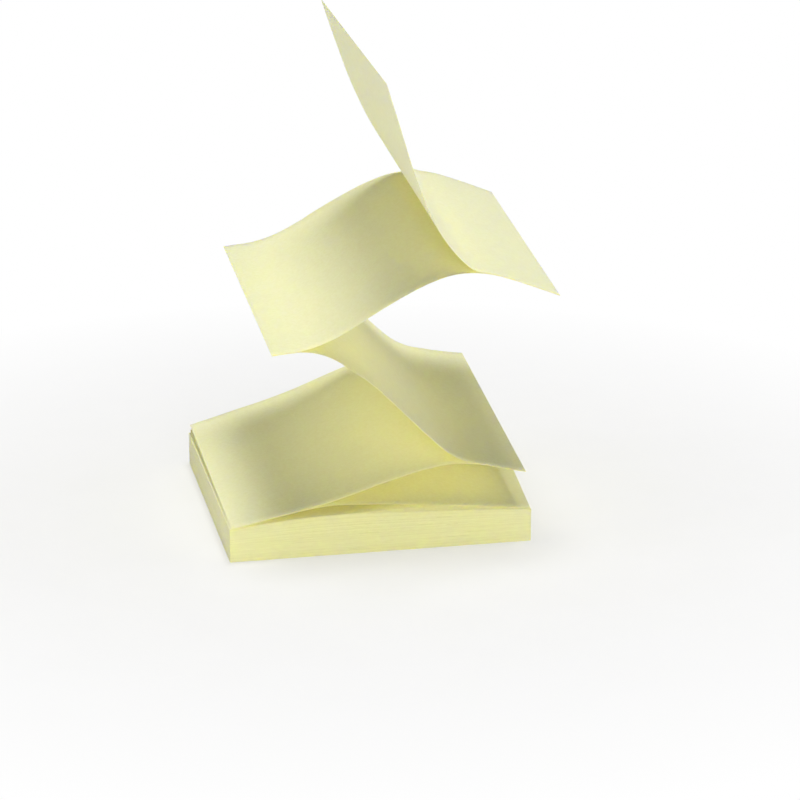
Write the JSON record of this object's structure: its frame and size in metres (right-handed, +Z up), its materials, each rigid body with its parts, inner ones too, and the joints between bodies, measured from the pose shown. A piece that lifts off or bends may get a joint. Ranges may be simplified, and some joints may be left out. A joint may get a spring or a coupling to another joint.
{
  "type": "sticky note pad",
  "caption": "Square pad of pale yellow sticky notes bonded at alternate ends, its top notes pulled up into an open accordion above the stack.",
  "frame": {"origin": "middle of the square underside that the pad rests on", "axes": "+Z up through the pad, X between the two ends where the notes are bonded in turn, -Y towards the front edges that the picture shows face on"},
  "size_m": [0.082, 0.0862, 0.1268],
  "materials": {
    "note_paper": "matt uncoated pale yellow paper"
  },
  "bodies": {
    "root": {"note_block": "note_paper", "note_1": "note_paper", "note_2": "note_paper", "note_3": "note_paper", "note_4": "note_paper", "note_5": "note_paper", "note_6": "note_paper"}
  },
  "joints": []
}
